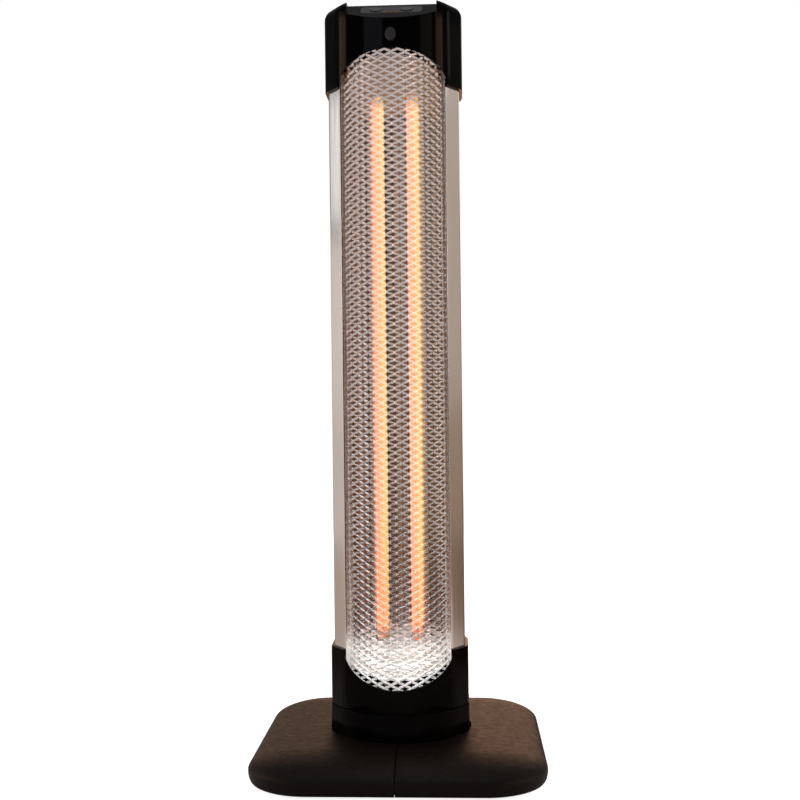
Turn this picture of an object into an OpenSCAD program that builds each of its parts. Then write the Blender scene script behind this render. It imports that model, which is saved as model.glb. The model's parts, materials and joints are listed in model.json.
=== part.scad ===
// Free-standing infrared tower heater: two carbon tubes in front of a polished
// reflector, in a bright metal column between two gloss black caps, on a heavy base.
// Millimetres. +Z is up, the front faces -Y, and the origin is on the floor under the
// middle of the base.

/* [Overall] */
// Height from the floor to the top of the upper cap
total_h = 800; // [660:1:960]
// Width and depth of the square base
base_w = 302; // [252:1:363]

/* [Base] */
// Corner radius of the base, seen from above
base_corner_r = 64; // [50:1:78]
// Height of the widest line of the base
rim_z = 14; // [11:0.5:17]
// Height of the base's top beside the collar
cover_top = 33; // [27:0.5:40]
// Wall of the two base covers
cover_wall = 3; // [2:0.1:4]
// Gap along the seam between the two base covers
seam_gap = 0.6; // [0.3:0.1:1]
// Thickness of the steel base plate
plate_t = 4; // [3:0.5:6]
// Height of the rubber feet
foot_h = 4; // [3:0.5:5]
// Radius of the rubber feet
foot_r = 14; // [10:0.5:17]
// Distance from the side of the base to the middle of a foot
foot_inset = 48; // [40:1:56]
// Radius of the hole that the mains cord enters by
cord_bore_r = 3.6; // [3:0.1:4.5]

/* [Column] */
// Radius of the column's round front
skin_r = 69.5; // [58:0.5:84]
// Straight side behind the round front
side_run = 14; // [8:1:20]
// Corner radius between the column's front and its sides
facet_r = 10; // [8:0.5:12]
// Corner radius at the column's back
back_r = 36; // [30:1:43]
// Thickness of the bright metal housing
skin_t = 1.8; // [1.2:0.1:2.4]
// Half angle of the front window, seen from the column's axis
window_angle = 55; // [48:0.5:60]
// How far the grille lies behind the housing's skin
grille_inset = 4; // [2:0.5:6]
// Thickness of the grille sheet
grille_t = 1.2; // [0.8:0.1:2]

/* [Caps] */
// Wall of the caps
cap_wall = 3.2; // [2.4:0.1:4]
// Clearance between the housing and a cap
cap_gap = 0.3; // [0.2:0.05:0.5]
// Height of the lower cap's rim above the floor
lower_cap_top = 122; // [110:1:146]
// Height of the upper cap
upper_cap_h = 89; // [84:1:108]
// Height of the arch cut in the front of the lower cap
lower_arch_h = 36; // [30:1:40]
// Height of the arch cut in the front of the upper cap
upper_arch_h = 33; // [27:1:36]
// Rounding along the top edge of the upper cap
top_round = 12; // [8:0.5:13]
// How far the collar stands above the base covers
collar_rise = 28; // [18:1:34]
// Wall of the collar round the foot of the column
collar_wall = 2.5; // [2:0.1:3.4]
// How far the collar stands out past the lower cap
collar_proud = 0.6; // [0:0.1:2]

/* [Control panel] */
// Slope of the control panel
panel_slope = 32; // [26:1:36]
// Width of the sloping face between the ears
panel_w = 94; // [84:1:100]
// Distance from the column's axis forward to the panel's top edge
panel_back = 31; // [26:1:34]
// Radius of the push buttons
button_r = 6.5; // [5:0.5:7.5]
// Travel of the push buttons
button_travel = 1.2; // [0.8:0.1:1.5]

/* [Heating tubes] */
// Outer diameter of the quartz tubes
tube_d = 14; // [12:0.5:17]
// Distance between the two tubes
tube_pitch = 38; // [31:0.5:45]
// Height of the lower reflector plate, at the tubes, above the lower cap's rim
lamp_rise = 6; // [0:1:20]
// Depth of the upper reflector plate, at the tubes, below the upper cap's rim
lamp_drop = 5; // [0:1:20]

/* [Tip switch] */
// Travel of the tip switch's plunger below the feet
plunger_travel = 5; // [3:0.5:6]

/* [Hidden] */
$fn = 96;
eps = 0.01;
cut = 1;                                    // how far a cutter runs past a face
fit = 0.1;                                  // radial clearance of a loose fit
round_past = 0.3;                           // a rounding's circle runs this far past a face

// Base levels
plate_z = foot_h;
plate_top = plate_z + plate_t;
skirt_z = foot_h - 1;
skirt_inset = 4;
cap_out = cap_gap + cap_wall;
collar_out = cap_out + collar_proud;
collar_in = collar_out - collar_wall;
spigot_out = collar_in - cap_gap;           // of the lower cap's foot, inside the collar
spigot_in = spigot_out - cap_wall;
collar_floor = 3;
collar_top = cover_top + collar_rise;
cap_floor_z = plate_top + collar_floor + cap_gap;
cap_floor_t = 3;
base_half = base_w / 2;
foot_at = base_half - foot_inset;
foot_stem_r = 4;
boss_r = 5;
boss_span = 60;                             // of the cover bosses, from the middle planes
boss_side = base_half - 41;
boss_end = base_half - 33;
BOSSES = [[boss_side, boss_span], [boss_side, -boss_span],
          [boss_span, boss_end], [boss_span, -boss_end]];
column_x = skin_r - 24;
COLUMN_SCREWS = [[column_x, -36], [-column_x, -36], [column_x, 26], [-column_x, 26]];
floor_hole_r = 20;

// Column levels
window_x = skin_r * sin(window_angle);
facet_angle = window_angle + 2;             // where the round front turns into flat facets
facet_n = [sin(facet_angle), -cos(facet_angle)];
facet_c = [skin_r - facet_r,
           -round(10 * (skin_r - facet_r) * (1 - facet_n.x) / -facet_n.y) / 10];
facet_sink = 0.03;                          // of the facets, under the rounds beside them
grille_r = skin_r - grille_inset;
lip_gap = 0.3;
flange_x = window_x - skin_t - lip_gap;     // outside of the grille's side flange
lip_depth = 18;                             // of the housing's lips, behind the skin
hook_w = 6;
lip_y = -skin_r * cos(window_angle);
hook_y = lip_y + lip_depth;
upper_cap_z = total_h - upper_cap_h;
lamp_low = lower_cap_top + lamp_rise;
lamp_high = upper_cap_z - lamp_drop;
bracket_t = 1.2;
bracket_off = 26;                           // bracket to reflector plate, at the tubes
housing_low = lamp_low - bracket_off - bracket_t - 2;
housing_top = lamp_high + bracket_off + 20;
grille_top = housing_top;
grille_low = lower_cap_top - lower_arch_h - 8;
back_y = side_run + back_r;                 // the housing's flat back

// Lamp chamber
reflector_t = 0.8;
reflector_back = 24;
hook_x = window_x - skin_t - hook_w - 0.5;    // half the clear way between the lips
mouth_x = window_x - skin_t - 3.2;
mouth_y = hook_y + skin_t + 0.2;
knee_x = tube_pitch / 2 + 12;
shoulder_x = knee_x + 0.65 * (mouth_x - knee_x);
reflector_low = lamp_low - 2;
reflector_high = lamp_high + 2;
plate_angle = 27;
end_plate_t = 0.8;
tube_r = tube_d / 2;
tube_wall = 1;
tube_over = 20;                             // a tube runs this far past a reflector plate
tube_hole_r = tube_r + 1;
element_r = tube_r - 1.5;
ceramic_r = tube_r + 2.5;
ceramic_l = 24;
socket_l = 10;
bracket_flange = 18;
bracket_x = 40;
rear_screw_x = 22;
rear_screw_in = 9;                          // rear screws from the bracket's plate

// Control panel, in the panel's own plane: y runs up the slope, z out of the face
roof_t = 4.5;
overlay_t = 1.2;
overlay_size = [64, 24];
overlay_y = -18;
light_y = overlay_y - 9;
button_x = 16;
button_stem_r = 3;
button_flange = 1.2;
button_proud = 0.8;
board_t = 1.6;
board_z = -12.6;                            // top face of the board
board_half_w = panel_w / 2 - 9;
board_near = overlay_y + 15;
board_far = overlay_y - 17;
board_screw_r = 1.2;
BOARD_SCREWS = [for (x = [-1, 1], y = [board_near - 5, board_far + 5])
                [x * (board_half_w - 4.5), y]];
tact_z = board_z + 3.6;
window_size = [11, 14];
window_z = upper_cap_z + upper_arch_h + 13;

// Rear rocker switch
rocker_z = housing_low - 20;
rocker_hole = [13, 19.2];
rocker_tilt = 11;
rocker_axle_y = back_y + cap_out - 2;
rocker_axle_r = 1.5;

// Tip switch
tip_x = -45;
tip_y = base_half - 56;
tip_stem_r = 2.5;
tip_size = [20, 15, 19];
tip_wall = 2.2;
tip_flange_z = 19;

module plan(g) {
    // The column's outline seen from above, grown by g: a round front, two flat facets
    // beside it, straight sides, and a flat back between round corners
    r = skin_r + g;
    f = facet_r + g;
    c = back_r + g;
    intersection() {
        circle(r = r);
        translate([-r, -r]) square([2 * r, r]);
    }
    both_sides() {
        polygon([[0, facet_c.y], (r - facet_sink) * facet_n,
                 facet_c + (f - facet_sink) * facet_n, facet_c]);
        translate(facet_c) circle(r = f);
        translate([-eps, facet_c.y]) square([r + eps, side_run - facet_c.y]);
        translate([r - c, side_run]) circle(r = c);
    }
    translate([-(r - c), side_run - eps]) square([2 * (r - c), c + eps]);
}

module prism(g, z0, z1) {
    translate([0, 0, z0]) linear_extrude(z1 - z0) plan(g);
}

module square_outline(inset) {
    w = base_w - 2 * inset;
    r = max(base_corner_r - inset, 1);
    square([w - 2 * r, w], center = true);
    square([w, w - 2 * r], center = true);
    for (x = [-1, 1], y = [-1, 1]) translate([x, y] * (w / 2 - r)) circle(r = r);
}

function bulge(shrink, bottom) =
    // Half section of the base's rim: a curved skirt, then an arch up to the flat top
    let (r = base_corner_r - shrink, top = cover_top - shrink)
    concat(
        [[0, bottom]],
        [for (t = [90 : -30 : 30])
            [r - skirt_inset * (1 - cos(t)), rim_z - (rim_z - bottom) * sin(t)]],
        [for (t = [0 : 10 : 90]) [r * cos(t), rim_z + (top - rim_z) * sin(t)]]);

module pillow(shrink, bottom) {
    // The base's rounded body, with every face moved inwards by shrink
    run = base_w / 2 - base_corner_r;
    translate([-run, -run, bottom]) cube([2 * run, 2 * run, cover_top - shrink - bottom]);
    for (k = [0 : 3]) rotate(90 * k) {
        translate([run, run]) rotate_extrude(angle = 90) polygon(bulge(shrink, bottom));
        translate([run, run]) rotate([90, 0, 0]) linear_extrude(2 * run)
            polygon(bulge(shrink, bottom));
    }
}

module both_sides() {
    children();
    mirror([1, 0, 0]) children();
}

module pan_screw(length, shank_r, head_r = 3.6, head_h = 2.2) {
    // Points along +Z with the underside of its head at the origin
    difference() {
        union() {
            translate([0, 0, -head_h]) cylinder(r = head_r, h = head_h);
            cylinder(r = shank_r, h = length);
        }
        for (a = [0, 90]) rotate(a) translate([-head_r * 0.6, -0.4, -head_h - cut])
            cube([head_r * 1.2, 0.8, head_h * 0.6 + cut]);
    }
}

module on_panel() {
    translate([0, -panel_back, total_h]) rotate([panel_slope, 0, 0]) children();
}

module arch_cutter(z, h) {
    // An ellipse as wide as the window, run through the front wall only
    translate([0, -10, z]) rotate([90, 0, 0]) linear_extrude(skin_r)
        polygon([for (a = [0 : 6 : 354]) [window_x * cos(a), h * sin(a)]]);
}

function unit(v) = v / norm(v);
function along(p, i) =
    unit(p[min(i + 1, len(p) - 1)] - p[max(i - 1, 0)]);

module wire(path, r, side = [1, 0, 0], sides = 8) {
    // A round wire swept along a path that never runs parallel to side
    rings = [for (i = [0 : len(path) - 1])
        let (t = along(path, i), u = unit(cross(t, side)), v = cross(u, t))
            [for (k = [0 : sides - 1]) let (a = 360 * k / sides)
                path[i] + r * (cos(a) * u + sin(a) * v)]];
    last = (len(path) - 1) * sides;
    polyhedron(
        points = [for (ring = rings) each ring],
        faces = concat(
            [[for (k = [0 : sides - 1]) k]],
            [[for (k = [sides - 1 : -1 : 0]) last + k]],
            [for (i = [0 : len(path) - 2], k = [0 : sides - 1])
                let (a = i * sides, m = (k + 1) % sides)
                    [a + k, a + sides + k, a + sides + m, a + m]]));
}

// ---- base ----

module base_plate() {
    color("dimgray") difference() {
        translate([0, 0, plate_z]) linear_extrude(plate_t)
            square_outline(skirt_inset + cover_wall + 0.6);
        for (x = [-1, 1], y = [-1, 1]) translate([x, y] * foot_at)
            cylinder(r = foot_stem_r + fit, h = 3 * plate_top, center = true);
        both_sides() for (b = BOSSES) translate(b)
            cylinder(r = 2.1, h = 3 * plate_top, center = true);
        for (p = COLUMN_SCREWS) translate(p)
            cylinder(r = 2.6, h = 3 * plate_top, center = true);
        translate([tip_x, tip_y]) cylinder(r = tip_stem_r + fit, h = 3 * plate_top, center = true);
    }
}

module base_cover() {
    // The right-hand half; the left one is its mirror image
    color([0.07, 0.065, 0.06]) difference() {
        union() {
            difference() {
                pillow(0, skirt_z);
                pillow(cover_wall, skirt_z - cut);
            }
            for (b = BOSSES) intersection() {
                translate([b.x, b.y, plate_top]) cylinder(r = boss_r, h = cover_top);
                pillow(cover_wall / 2, skirt_z);
            }
        }
        translate([-base_w, -base_w, -cut]) cube([base_w + seam_gap / 2, 2 * base_w, total_h]);
        prism(collar_out + cap_gap, -cut, collar_top);
        for (b = BOSSES) translate([b.x, b.y, 0]) cylinder(r = 1.65, h = plate_top + 11);
        gland_pocket();
    }
}

gland_z = plate_top + 9;
gland_r = cord_bore_r + 3;
gland_flange_r = gland_r + 2.2;
gland_back = base_half - 8;                 // outer face of the gland's flange

module gland_pocket() {
    translate([0, base_half, gland_z]) rotate([90, 0, 0]) {
        translate([0, 0, -cut]) cylinder(r = gland_flange_r + 1, h = 11 + cut);
        cylinder(r = gland_r + fit, h = 40);
    }
}

module cord_gland() {
    // A grommet gripped by both covers at the back seam
    color("black") translate([0, gland_back, gland_z]) rotate([90, 0, 0]) difference() {
        union() {
            cylinder(r = gland_flange_r, h = 2.8);
            translate([0, 0, -6]) cylinder(r1 = gland_r - 1.2, r2 = gland_r, h = 6 + eps);
            cylinder(r = gland_r, h = 14);
        }
        translate([0, 0, -6 - cut]) cylinder(r = cord_bore_r, h = 20 + 2 * cut);
    }
}

module rubber_feet() {
    color("black") for (x = [-1, 1], y = [-1, 1]) translate([x, y] * foot_at) {
        cylinder(r = foot_r, h = foot_h);
        cylinder(r = foot_stem_r, h = plate_top);
        translate([0, 0, plate_top]) cylinder(r = foot_stem_r + 1.5, h = 2);
    }
}

module cover_screws() {
    color("silver") both_sides() for (b = BOSSES)
        translate([b.x, b.y, plate_z]) pan_screw(plate_t + 9, 1.6);
}

module column_screws() {
    color("silver") for (p = COLUMN_SCREWS)
        translate([p.x, p.y, plate_z]) pan_screw(plate_t + collar_floor + 14, 2.4, 4.4);
}

module foot_collar() {
    color([0.02, 0.02, 0.02]) difference() {
        prism(collar_out, plate_top, collar_top);
        prism(collar_in, plate_top + collar_floor, collar_top + cut);
        cylinder(r = floor_hole_r, h = 3 * plate_top, center = true);
        for (p = COLUMN_SCREWS) translate(p) cylinder(r = 2.6, h = 3 * plate_top, center = true);
    }
}

// ---- tip switch ----

module tip_switch_body() {
    color("ivory") translate([tip_x, tip_y, plate_top]) difference() {
        translate([-tip_size.x / 2, -tip_size.y / 2, 0]) cube(tip_size);
        translate([0, 0, -cut]) cylinder(r = tip_stem_r + fit, h = tip_wall + 2 * cut);
        translate([0, 0, tip_wall]) cylinder(r = tip_stem_r + 2.6, h = tip_size.z - 2 * tip_wall);
    }
}

module tip_plunger() {
    color("white") translate([tip_x, tip_y, 0]) {
        cylinder(r = tip_stem_r + 2.5, h = 2.6);
        cylinder(r = tip_stem_r, h = tip_flange_z + 2);
        translate([0, 0, tip_flange_z]) cylinder(r = tip_stem_r + 1.8, h = 1.5);
    }
}

module tip_spring() {
    // A compressed coil between the plunger's flange and the switch's roof
    r = tip_stem_r + 1;
    wire_r = 0.35;
    low = tip_flange_z + 1.5 + wire_r + 0.05;
    high = plate_top + tip_size.z - tip_wall - wire_r - 0.05;
    turns = 2.5;
    steps = 30;
    coil = [for (i = [0 : steps]) let (a = 360 * turns * i / steps)
        [r * cos(a), r * sin(a), low + (high - low) * i / steps]];
    color("silver") translate([tip_x, tip_y, 0]) wire(coil, wire_r, side = [0, 0, 1], sides = 6);
}

// ---- column ----

module housing_profile() {
    difference() {
        plan(0);
        plan(-skin_t);
        translate([-window_x, -2 * skin_r]) square([2 * window_x, 2 * skin_r - 5]);
    }
    both_sides() {
        intersection() {
            plan(0);
            translate([window_x - skin_t, -skin_r]) square([skin_t + 0.6, skin_r + hook_y]);
        }
        translate([window_x - hook_w - skin_t, hook_y - eps])
            square([hook_w + skin_t, skin_t + eps]);
    }
}

module column_housing() {
    color([0.78, 0.76, 0.73]) difference() {
        translate([0, 0, housing_low]) linear_extrude(housing_top - housing_low)
            housing_profile();
        rear_screw_holes(2.1);
    }
}

module grille_half_plan(g) {
    // Filled outline of the grille's channel, drawn in by g
    x = flange_x - g;
    r = grille_r - g;
    y = -sqrt(r * r - x * x);
    intersection() {
        circle(r = r);
        translate([-x, -r]) square([2 * x, r + y + eps]);
    }
    translate([-x, y]) square([2 * x, hook_y - 0.4 - y]);
}

module grille_profile() {
    difference() {
        grille_half_plan(0);
        grille_half_plan(grille_t);
        translate([grille_t - flange_x, hook_y - 2]) square([2 * (flange_x - grille_t), 4]);
    }
}

module grille() {
    color([0.72, 0.71, 0.70]) translate([0, 0, grille_low])
        linear_extrude(grille_top - grille_low) grille_profile();
}

function trough(d) = [
    // Half of the reflector's line from mouth to ridge, d further out
    [mouth_x + d, mouth_y], [shoulder_x + d, 8 + 0.4 * d],
    [knee_x + 0.5 * d, reflector_back - 2 + d], [knee_x - 18, reflector_back + d],
    [0, reflector_back - 8 + d]];

module reflector() {
    line_in = trough(0);
    line_out = trough(reflector_t);
    n = len(line_in);
    flip = [-1, 1];
    color([0.85, 0.85, 0.86]) translate([0, 0, reflector_low])
        linear_extrude(reflector_high - reflector_low) polygon(concat(
            line_in,
            [for (i = [n - 2 : -1 : 0]) [-line_in[i].x, line_in[i].y]],
            [for (i = [0 : n - 2]) [-line_out[i].x, line_out[i].y]],
            [for (i = [n - 1 : -1 : 0]) line_out[i]]));
}

module reflector_stays() {
    // Two spacers that hold the reflector off the housing's back
    y0 = reflector_back + reflector_t + 0.1;
    color("silver") for (z = [0.25, 0.75])
        translate([-knee_x + 8, y0, reflector_low + z * (reflector_high - reflector_low)])
            difference() {
                cube([2 * (knee_x - 8), back_y - skin_t - y0 - 0.1, 16]);
                translate([2, 1.2, -cut])
                    cube([2 * (knee_x - 10), back_y - skin_t - y0 - 2.5, 16 + 2 * cut]);
                translate([0, -2 * cut, -cut])
                    linear_extrude(16 + 2 * cut)
                        translate([knee_x - 8 - 19, 0]) square([38, cut]);
            }
}

module end_plate_outline() {
    // Between the lips in front, and inside the trough behind them
    inside = trough(-0.4);
    n = len(inside);
    polygon(concat(inside, [for (i = [n - 2 : -1 : 0]) [-inside[i].x, inside[i].y]]));
    intersection() {
        circle(r = grille_r - grille_t - 1);
        translate([-hook_x, -skin_r]) square([2 * hook_x, skin_r + mouth_y + 1]);
    }
}

module end_plate() {
    // A reflector plate that rises towards the front, through z = 0 at the tubes
    difference() {
        intersection() {
            rotate([-plate_angle, 0, 0]) translate([-skin_r, -2 * skin_r, 0])
                cube([2 * skin_r, 4 * skin_r, end_plate_t]);
            translate([0, 0, -skin_r]) linear_extrude(2 * skin_r) end_plate_outline();
        }
        both_sides() translate([tube_pitch / 2, 0]) cylinder(r = tube_hole_r, h = 60, center = true);
    }
}

module upper_reflector_plate() {
    color([0.80, 0.76, 0.70]) translate([0, 0, lamp_high]) end_plate();
}

module lower_reflector_plate() {
    color([0.92, 0.92, 0.92]) translate([0, 0, lamp_low]) mirror([0, 0, 1]) end_plate();
}

module rear_screw_holes(r) {
    for (z = [lamp_low - bracket_off + rear_screw_in, lamp_high + bracket_off - rear_screw_in])
        both_sides() translate([rear_screw_x, back_y + 20, z]) rotate([90, 0, 0])
            cylinder(r = r, h = 40);
}

module rear_screws(z) {
    both_sides() translate([rear_screw_x, back_y + cap_out, z]) rotate([90, 0, 0])
        pan_screw(cap_out + skin_t + bracket_t + 1.5, 1.9, 3.8);
}

module rear_screws_upper() {
    color("silver") rear_screws(lamp_high + bracket_off - rear_screw_in);
}

module rear_screws_lower() {
    color("silver") rear_screws(lamp_low - bracket_off + rear_screw_in);
}

// ---- heating tubes, drawn for the right side and mirrored ----

module quartz_tube() {
    z0 = lamp_low - tube_over;
    h = lamp_high + tube_over - z0;
    color([1, 0.75, 0.45]) translate([tube_pitch / 2, 0, z0]) difference() {
        cylinder(r = tube_r, h = h);
        translate([0, 0, 4]) cylinder(r = tube_r - tube_wall, h = h - 8);
    }
}

module carbon_element() {
    // A hollow carbon element hung on a pin at each end of the tube
    reach = tube_over - 4;
    color("orange") translate([tube_pitch / 2, 0, 0]) {
        difference() {
            translate([0, 0, lamp_low - 6]) cylinder(r = element_r, h = lamp_high - lamp_low + 12);
            translate([0, 0, lamp_low - 5])
                cylinder(r = element_r - 0.6, h = lamp_high - lamp_low + 10);
        }
        translate([0, 0, lamp_low - reach]) cylinder(r = 0.8, h = reach - 5.5);
        translate([0, 0, lamp_high + 5.5]) cylinder(r = 0.8, h = reach - 5.5);
    }
}

module ceramic_end() {
    // Points down, with its flange resting on the bracket at z = 0
    difference() {
        union() {
            translate([0, 0, ceramic_l - 16]) mirror([0, 0, 1]) cylinder(r = ceramic_r, h = ceramic_l - 8);
            cylinder(r = ceramic_r, h = 16);
            cylinder(r = ceramic_r + 1.8, h = 3);
        }
        translate([0, 0, 16 - socket_l]) cylinder(r = tube_r + fit, h = socket_l + cut);
    }
}

module ceramic_ends() {
    color("ivory") translate([tube_pitch / 2, 0]) {
        translate([0, 0, lamp_low - bracket_off]) ceramic_end();
        translate([0, 0, lamp_high + bracket_off]) mirror([0, 0, 1]) ceramic_end();
    }
}

module tube_bracket() {
    // Steel plate with its top face at z = 0 and a back flange that turns up
    color("silver") {
        difference() {
            translate([0, 0, -bracket_t]) linear_extrude(bracket_t) intersection() {
                plan(-skin_t - 0.3);
                translate([-bracket_x, -14]) square([2 * bracket_x, skin_r + 14]);
            }
            both_sides() translate([tube_pitch / 2, 0])
                cylinder(r = ceramic_r + fit, h = 20, center = true);
            translate([0, harness_y]) cylinder(r = harness_r + 1.5, h = 20, center = true);
        }
        translate([-30, back_y - skin_t - 0.1 - bracket_t, -eps]) difference() {
            cube([60, bracket_t, bracket_flange]);
            for (x = [-1, 1]) translate([30 + x * rear_screw_x, -cut, rear_screw_in]) rotate([-90, 0, 0])
                cylinder(r = 1.95, h = bracket_t + 2 * cut);
        }
    }
}

module lower_tube_bracket() {
    translate([0, 0, lamp_low - bracket_off]) tube_bracket();
}

module upper_tube_bracket() {
    translate([0, 0, lamp_high + bracket_off]) mirror([0, 0, 1]) tube_bracket();
}

// ---- wiring inside the column ----

cutout_x = knee_x - 9;
lead_r = 1.4;
lead_y = 4;
harness_r = 3.2;
harness_y = reflector_back + reflector_t + harness_r + 2;

module thermal_cutout() {
    // Overheat cut-out on the back of the reflector, with its two tabs
    y0 = reflector_back + reflector_t + 0.1;
    color("tan") translate([cutout_x, y0, (lamp_low + lamp_high) / 2]) rotate([-90, 0, 0]) {
        cylinder(r = 8, h = 7);
        for (x = [-1, 1]) translate([x * 4.5 - 0.4, -3, 7 - eps]) cube([0.8, 6, 6]);
    }
}

module tube_leads_lower() {
    z = lamp_low - bracket_off - 8;
    x = tube_pitch / 2;
    end_z = cap_floor_z + 26;
    color("white") for (s = [-1, 1])
        wire([[s * x, 0, z - 0.2], [s * x, 0, z - 8], [s * (x - 2), 1, z - 18],
              [s * 10, 6, end_z + 16], [s * 10, 8, end_z]], lead_r, side = [0, 1, 0]);
}

module tube_leads_upper() {
    z = lamp_high + bracket_off + 8;
    x = tube_pitch / 2;
    color("white") for (s = [-1, 1])
        wire([[s * x, 0, z + 0.2], [s * x, 0, z + 3], [s * (x - 2), lead_y, z + 9],
              [s * (x - 2), lead_y, housing_top + 4], [s * (x - 3), lead_y + 1, housing_top + 11]],
             lead_r, side = [0, 1, 0]);
}

module wire_harness() {
    z0 = cap_floor_z + 26;
    color("dimgray") wire([[0, 14, z0], [0, 15, z0 + 7], [0, 22, z0 + 16],
        [0, harness_y - 2, z0 + 26], [0, harness_y, z0 + 36], [0, harness_y, lamp_high],
        [0, harness_y, housing_top - 4], [0, harness_y, housing_top + 8],
        [0, harness_y - 4, housing_top + 14]], harness_r);
}

module terminal_block() {
    color("ivory") translate([-22, 2, cap_floor_z + cap_floor_t + 0.1]) difference() {
        cube([44, 18, 22]);
        for (i = [0 : 3]) translate([5.5 + 11 * i, 9, 22 - 7]) cylinder(r = 3, h = 8);
        for (i = [0 : 3]) translate([5.5 + 11 * i, -cut, 8]) rotate([-90, 0, 0]) cylinder(r = 2.2, h = 7);
    }
}

// ---- lower cap ----

module lower_cap() {
    color([0.02, 0.02, 0.02]) difference() {
        union() {
            difference() {
                union() {
                    prism(cap_out, collar_top + cap_gap, lower_cap_top);
                    prism(spigot_out, cap_floor_z, lower_cap_top - 1);
                }
                prism(spigot_in, cap_floor_z + cap_floor_t, lower_cap_top + cut);
                prism(cap_gap, housing_low, lower_cap_top + cut);
            }
            for (p = COLUMN_SCREWS) translate([p.x, p.y, cap_floor_z]) cylinder(r = 6, h = 18);
            grille_ledge(grille_low - 3, grille_low);
        }
        arch_cutter(lower_cap_top, lower_arch_h);
        for (p = COLUMN_SCREWS) translate([p.x, p.y, -cut]) cylinder(r = 2.45, h = cap_floor_z + 16 + cut);
        cylinder(r = floor_hole_r - 8, h = 4 * cap_floor_z, center = true);
        translate([-rocker_hole.x / 2, back_y + spigot_in - cut, rocker_z - rocker_hole.y / 2])
            cube([rocker_hole.x, cap_out - spigot_in + 2 * cut, rocker_hole.y]);
        rear_screw_holes(2.1);
    }
}

module cap_ledge(z0, z1) {
    // Rib inside the upper cap that holds the housing down, left out behind the window
    translate([0, 0, z0]) linear_extrude(z1 - z0) difference() {
        plan(cap_gap + 0.2);
        plan(-skin_t - 1.5);
        translate([-2 * skin_r, -2 * skin_r]) square([4 * skin_r, 2 * skin_r + hook_y]);
    }
}

module grille_ledge(z0, z1) {
    translate([0, 0, z0]) linear_extrude(z1 - z0) difference() {
        circle(r = skin_r + cap_gap + 0.2);
        circle(r = grille_r - grille_t - 0.6);
        translate([-2 * skin_r, hook_y]) square(4 * skin_r);
    }
}

// ---- upper cap ----

module rounded_slab(low, high, rounded) {
    // Side view of a slab from low to high, with its top rounded at the ends listed
    ends = [low - round_past, high + round_past];
    difference() {
        translate([ends[0], 0]) square([ends[1] - ends[0], upper_cap_h]);
        for (i = rounded) translate([ends[i] - top_round * i, upper_cap_h - top_round])
            square([top_round, top_round + cut]);
    }
    for (i = rounded) translate([ends[i] + top_round * (1 - 2 * i), upper_cap_h - top_round])
        circle(r = top_round);
}

module upper_block() {
    // The column's outline, grown to the cap's outside, with its top rounded at the sides
    // and the back
    r = skin_r + cap_out;
    reach = 2 * skin_r;
    intersection() {
        prism(cap_out, upper_cap_z, total_h);
        translate([0, reach, upper_cap_z]) rotate([90, 0, 0]) linear_extrude(2 * reach)
            rounded_slab(-r, r, [0, 1]);
        translate([-reach, 0, upper_cap_z]) rotate([90, 0, 90]) linear_extrude(2 * reach)
            rounded_slab(-reach, back_y + cap_out, [1]);
    }
}

module sloping_cut(side, drop) {
    on_panel() translate([-(panel_w / 2 + side), -2 * skin_r, -drop])
        cube([panel_w + 2 * side, 2 * skin_r + drop, 3 * skin_r]);
}

module overlay_outline(grow) {
    w = overlay_size + 2 * grow * [1, 1];
    r = 4 + grow;
    translate([0, overlay_y]) {
        square([w.x - 2 * r, w.y], center = true);
        square([w.x, w.y - 2 * r], center = true);
        for (x = [-1, 1], y = [-1, 1]) translate([x * (w.x / 2 - r), y * (w.y / 2 - r)]) circle(r = r);
    }
}

vent_w = 3;
vent_pitch = 7;
vent_y = 8;
vent_l = back_y - vent_y - 12;

module upper_cap() {
    color([0.02, 0.02, 0.02]) difference() {
        union() {
            difference() {
                upper_block();
                sloping_cut(0, 0);
                difference() {
                    union() {
                        prism(cap_gap, upper_cap_z - cut, total_h - top_round);
                        prism(cap_gap - top_round / 3, upper_cap_z, total_h - roof_t);
                    }
                    sloping_cut(cap_wall, roof_t);
                }
            }
            cap_ledge(housing_top + 1.8, housing_top + 5);
            on_panel() for (p = BOARD_SCREWS)
                translate([p.x, p.y, board_z]) cylinder(r = 2.8, h = -board_z - 1);
        }
        arch_cutter(upper_cap_z, upper_arch_h);
        on_panel() {
            translate([0, 0, -overlay_t]) linear_extrude(overlay_t + cut) overlay_outline(fit);
            both_sides() translate([button_x, overlay_y, -roof_t - cut])
                cylinder(r = button_r + 0.3, h = roof_t + 2 * cut);
            for (p = BOARD_SCREWS) translate([p.x, p.y, board_z - cut])
                cylinder(r = board_screw_r + 0.05, h = 7 + cut);
        }
        window_prism(fit);
        for (i = [-3 : 3]) translate([i * vent_pitch - vent_w / 2, vent_y, total_h - roof_t - cut])
            cube([vent_w, vent_l, roof_t + 2 * cut]);
        rear_screw_holes(2.1);
    }
}

module window_prism(grow) {
    a = window_size / 2 + grow * [1, 1];
    translate([0, -30, window_z]) rotate([90, 0, 0]) linear_extrude(skin_r)
        polygon([for (t = [0 : 10 : 350]) [a.x * cos(t), a.y * sin(t)]]);
}

module ir_window() {
    color([0.16, 0.1, 0.12]) intersection() {
        window_prism(0);
        translate([0, 0, window_z - 20]) difference() {
            cylinder(r = skin_r + cap_out + 0.4, h = 40);
            translate([0, 0, -cut]) cylinder(r = skin_r + cap_gap, h = 40 + 2 * cut);
        }
    }
}

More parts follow.
